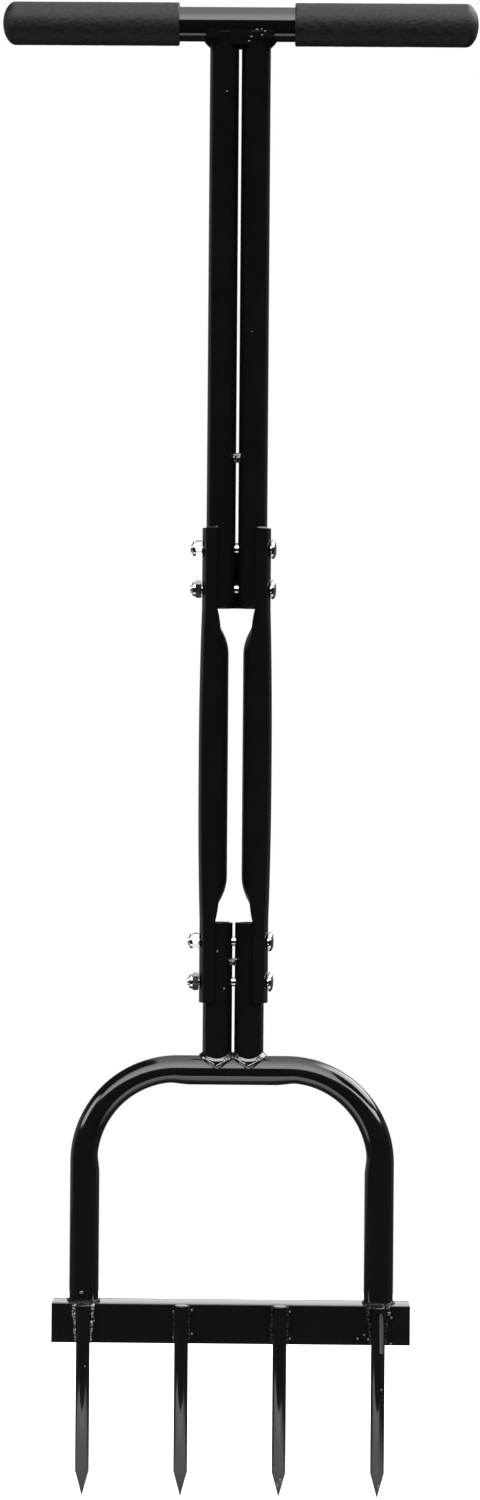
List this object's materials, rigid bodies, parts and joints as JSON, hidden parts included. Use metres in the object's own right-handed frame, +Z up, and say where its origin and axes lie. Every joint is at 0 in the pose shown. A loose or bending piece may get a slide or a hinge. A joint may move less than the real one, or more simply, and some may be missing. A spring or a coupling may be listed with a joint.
{
  "type": "spike aerator",
  "caption": "Two-handed spike aerator: cross handle with foam grips, bolted twin-tube shaft, bent tube frame and an angle bar with pointed rods, trodden into turf.",
  "frame": {"origin": "middle of the lower edge of the angle bar's front flange, which meets the turf when the rods are all the way in", "axes": "+Z up along the shaft, +X along the bar and the cross handle, to the right seen from the front; -Y is the front, where the rods are welded"},
  "size_m": [0.308, 0.0359, 0.9639],
  "materials": {
    "black_paint": "gloss",
    "foam": "matte foam",
    "zinc": "bright zinc plate"
  },
  "bodies": {
    "root": {"handle_bar": "black_paint", "left_grip": "foam", "right_grip": "foam", "left_upper_tube": "black_paint", "right_upper_tube": "black_paint", "left_mid_link": "black_paint", "right_mid_link": "black_paint", "left_lower_stub": "black_paint", "right_lower_stub": "black_paint", "bolt_1": "zinc", "bolt_2": "zinc", "bolt_3": "zinc", "bolt_4": "zinc", "nut_1": "zinc", "nut_2": "zinc", "nut_3": "zinc", "nut_4": "zinc", "u_frame": "black_paint", "spike_bar": "black_paint", "spike_1": "black_paint", "spike_2": "black_paint", "spike_3": "black_paint", "spike_4": "black_paint", "handle_weld": "black_paint", "stub_weld": "black_paint", "upper_tack_weld": "black_paint", "lower_tack_weld": "black_paint", "upper_seam_weld": "black_paint", "left_foot_weld": "black_paint", "right_foot_weld": "black_paint", "spike_1_left_weld": "black_paint", "spike_1_right_weld": "black_paint", "spike_2_left_weld": "black_paint", "spike_2_right_weld": "black_paint", "spike_3_left_weld": "black_paint", "spike_3_right_weld": "black_paint", "spike_4_left_weld": "black_paint", "spike_4_right_weld": "black_paint"}
  },
  "joints": []
}
